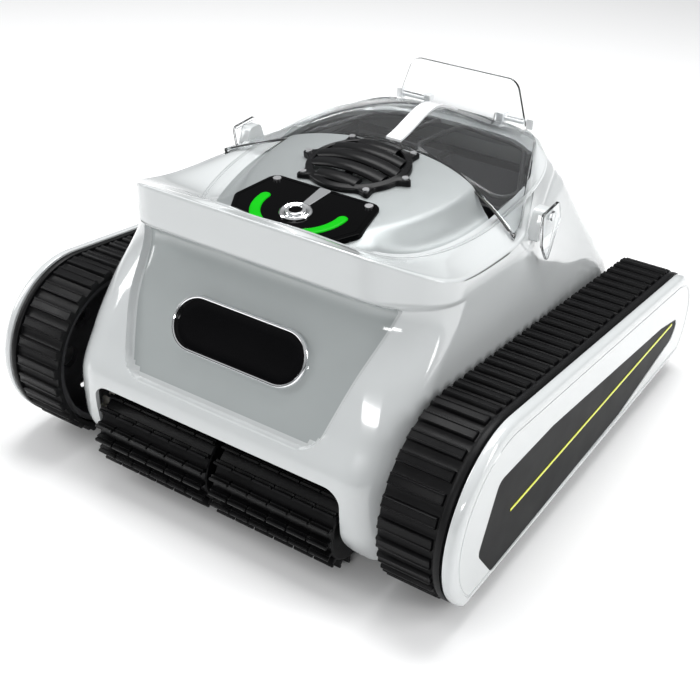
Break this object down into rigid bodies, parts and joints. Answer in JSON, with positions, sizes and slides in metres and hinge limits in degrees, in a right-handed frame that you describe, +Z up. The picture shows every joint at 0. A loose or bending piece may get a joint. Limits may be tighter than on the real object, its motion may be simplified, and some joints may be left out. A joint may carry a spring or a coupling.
{
  "type": "pool cleaner",
  "caption": "Cordless tracked pool cleaner: wedge body on belts with front rollers, suction pump under a round grille, clear filter lid and rear wing.",
  "frame": {"origin": "on the ground at the middle of the footprint", "axes": "+Z up, -Y is the front with the brushes, +X is to the right of someone facing its front"},
  "size_m": [0.42, 0.461, 0.272],
  "materials": {
    "shell_white": "polished",
    "deck_silver": "satin metallic",
    "window_black": "polished",
    "bright_trim": "polished",
    "seal_rubber": "matte",
    "tray_grey": "fine texture",
    "brush_rubber": "satin",
    "track_rubber": "satin",
    "wheel_plastic": "fine texture",
    "gear_nylon": "satin",
    "steel": "ground",
    "bush_bronze": "satin",
    "panel_black": "polished",
    "stripe_yellow": "satin",
    "light_green": "translucent",
    "grille_black": "satin",
    "box_grey": "fine texture",
    "motor_can": "plated",
    "battery_wrap": "shrink film",
    "board_green": "lacquered",
    "clear": "polished",
    "rib_white": "polished",
    "latch_grey": "satin",
    "basket_black": "satin",
    "mesh_grey": "woven"
  },
  "bodies": {
    "body": {"upper_shell": "shell_white", "window_bezel": "bright_trim", "front_window": "window_black", "window_gasket": "seal_rubber", "chassis_tray": "tray_grey", "brush_bearing": "tray_grey", "wheel_axles": "steel", "shaft_bushes": "bush_bronze", "cover_insets": "panel_black", "side_stripes": "stripe_yellow", "motor_box": "box_grey", "motor_box_lid": "box_grey", "box_seal": "seal_rubber", "box_screws": "steel", "drive_motors": "motor_can", "battery_pack": "battery_wrap", "circuit_board": "board_green", "pump_motor": "motor_can", "shaft_seals": "seal_rubber", "outlet_duct": "box_grey", "control_panel": "panel_black", "light_guides": "light_green", "button_ring": "bright_trim", "panel_screws": "steel", "deck": "deck_silver", "outlet_grille": "grille_black", "grille_screws": "grille_black", "hinge_posts": "rib_white", "latch_pivots": "latch_grey", "filter_basket": "basket_black", "basket_mesh": "mesh_grey", "inlet_throat": "basket_black", "charge_port": "panel_black", "left_belt": "track_rubber", "left_cover": "shell_white", "right_belt": "track_rubber", "right_cover": "shell_white"},
    "left_drive": {"left_drive_gear": "gear_nylon", "left_front_wheel": "wheel_plastic"},
    "right_drive": {"right_drive_gear": "gear_nylon", "right_front_wheel": "wheel_plastic"},
    "left_pinion": {"left_pinion": "steel"},
    "right_pinion": {"right_pinion": "steel"},
    "left_brush": {"left_brush": "brush_rubber", "left_brush_gear": "gear_nylon"},
    "right_brush": {"right_brush": "brush_rubber", "right_brush_gear": "gear_nylon"},
    "left_rear_wheel": {"left_rear_wheel": "wheel_plastic"},
    "right_rear_wheel": {"right_rear_wheel": "wheel_plastic"},
    "left_roller": {"left_roller": "wheel_plastic"},
    "right_roller": {"right_roller": "wheel_plastic"},
    "impeller": {"impeller": "grille_black", "pump_shaft": "steel"},
    "power_button": {"power_button": "panel_black"},
    "canopy": {"canopy": "clear", "canopy_strut": "rib_white", "rear_wing": "clear"},
    "left_latch": {"left_latch": "clear"},
    "right_latch": {"right_latch": "clear"},
    "inlet_flap": {"inlet_flap": "seal_rubber"}
  },
  "joints": [
    {"name": "left_drive_spin", "type": "hinge", "parent": "body", "child": "left_drive", "pos_m": [-0.175, -0.1565, 0.074], "axis": [1, 0, 0], "continuous": true},
    {"name": "left_pinion_spin", "type": "hinge", "parent": "body", "child": "left_pinion", "pos_m": [-0.1255, -0.1085, 0.06548], "axis": [1, 0, 0], "continuous": true},
    {"name": "left_brush_spin", "type": "hinge", "parent": "body", "child": "left_brush", "pos_m": [-0.0575, -0.1925, 0.041], "axis": [1, 0, 0], "continuous": true},
    {"name": "left_rear_wheel_spin", "type": "hinge", "parent": "body", "child": "left_rear_wheel", "pos_m": [-0.175, 0.1735, 0.057], "axis": [1, 0, 0], "continuous": true},
    {"name": "left_roller_spin", "type": "hinge", "parent": "body", "child": "left_roller", "pos_m": [-0.175, 0.0085, 0.0285], "axis": [1, 0, 0], "continuous": true},
    {"name": "right_drive_spin", "type": "hinge", "parent": "body", "child": "right_drive", "pos_m": [0.175, -0.1565, 0.074], "axis": [1, 0, 0], "continuous": true},
    {"name": "right_pinion_spin", "type": "hinge", "parent": "body", "child": "right_pinion", "pos_m": [0.1255, -0.1085, 0.06548], "axis": [1, 0, 0], "continuous": true},
    {"name": "right_brush_spin", "type": "hinge", "parent": "body", "child": "right_brush", "pos_m": [0.0575, -0.1925, 0.041], "axis": [1, 0, 0], "continuous": true},
    {"name": "right_rear_wheel_spin", "type": "hinge", "parent": "body", "child": "right_rear_wheel", "pos_m": [0.175, 0.1735, 0.057], "axis": [1, 0, 0], "continuous": true},
    {"name": "right_roller_spin", "type": "hinge", "parent": "body", "child": "right_roller", "pos_m": [0.175, 0.0085, 0.0285], "axis": [1, 0, 0], "continuous": true},
    {"name": "impeller_spin", "type": "hinge", "parent": "body", "child": "impeller", "pos_m": [0, -0.0315, 0.188], "axis": [0, 0, 1], "continuous": true},
    {"name": "button_press", "type": "slide", "parent": "body", "child": "power_button", "axis": [0, 0.1093, -0.994], "range_m": [0, 0.0015], "stiffness_N_per_m": 600, "springref_m": -0.002},
    {"name": "canopy_hinge", "type": "hinge", "parent": "body", "child": "canopy", "pos_m": [0, 0.1405, 0.2348], "axis": [-1, 0, 0], "range_deg": [0, 75]},
    {"name": "left_latch_pivot", "type": "hinge", "parent": "body", "child": "left_latch", "pos_m": [-0.14475, 0.0115, 0.218], "axis": [1, 0, 0], "range_deg": [0, 60]},
    {"name": "right_latch_pivot", "type": "hinge", "parent": "body", "child": "right_latch", "pos_m": [0.14475, 0.0115, 0.218], "axis": [1, 0, 0], "range_deg": [0, 60]},
    {"name": "inlet_flap_hinge", "type": "hinge", "parent": "body", "child": "inlet_flap", "pos_m": [0, 0.0575, 0.0725], "axis": [-1, 0, 0], "range_deg": [0, 70]}
  ],
  "couplings": [
    {"joint": "left_pinion_spin", "follows": "left_drive_spin", "ratio": -2},
    {"joint": "left_brush_spin", "follows": "left_drive_spin", "ratio": -2},
    {"joint": "left_rear_wheel_spin", "follows": "left_drive_spin", "ratio": 1.3434},
    {"joint": "left_roller_spin", "follows": "left_drive_spin", "ratio": 3.1667},
    {"joint": "right_pinion_spin", "follows": "right_drive_spin", "ratio": -2},
    {"joint": "right_brush_spin", "follows": "right_drive_spin", "ratio": -2},
    {"joint": "right_rear_wheel_spin", "follows": "right_drive_spin", "ratio": 1.3434},
    {"joint": "right_roller_spin", "follows": "right_drive_spin", "ratio": 3.1667}
  ]
}
